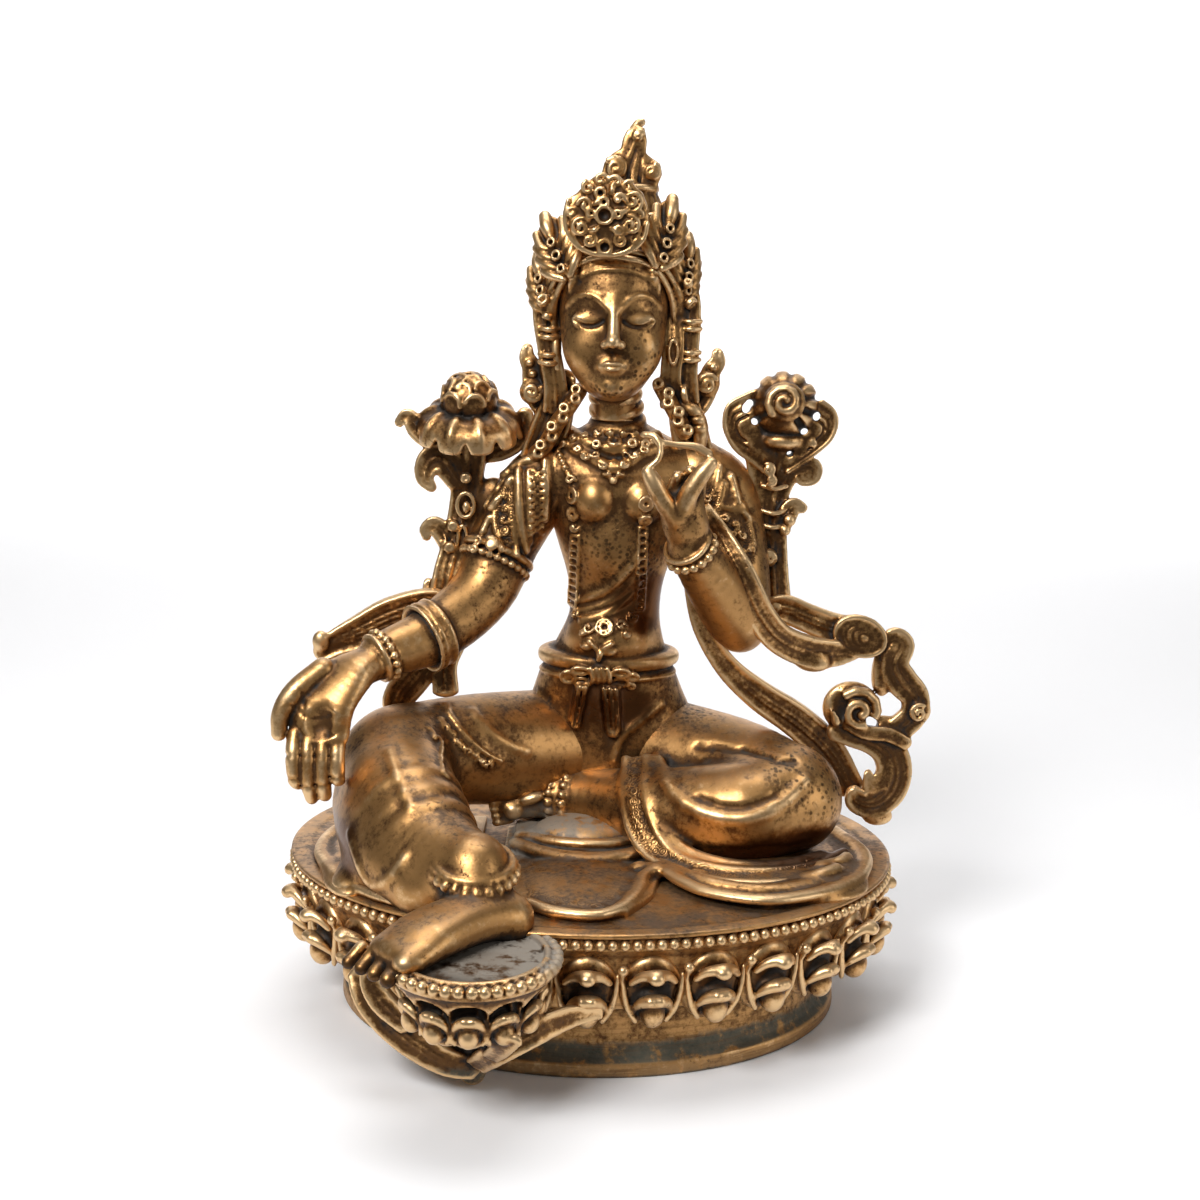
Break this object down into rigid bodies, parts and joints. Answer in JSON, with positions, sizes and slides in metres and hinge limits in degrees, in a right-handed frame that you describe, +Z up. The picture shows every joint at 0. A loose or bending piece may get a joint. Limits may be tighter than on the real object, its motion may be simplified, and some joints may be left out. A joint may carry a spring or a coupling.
{
  "type": "tara figure on a lotus base",
  "caption": "Seated goddess in gilt bronze with crown, two lotus stems and scarves, one leg let down on a small footrest, on an oval lotus base.",
  "frame": {"origin": "middle of the base's flat underside, on the surface that it stands on", "axes": "+Z up, she faces -Y, +X is her left (the viewer's right)"},
  "size_m": [0.1665, 0.153, 0.2217],
  "materials": {
    "gilt_bronze": "worn gilding over brown bronze, satin, dark in the hollows",
    "base_bronze": "worn gilding over brown bronze, brushed, grey-green on the foot"
  },
  "bodies": {
    "root": {"tara_figure": "gilt_bronze", "lotus_base": "base_bronze"}
  },
  "joints": []
}
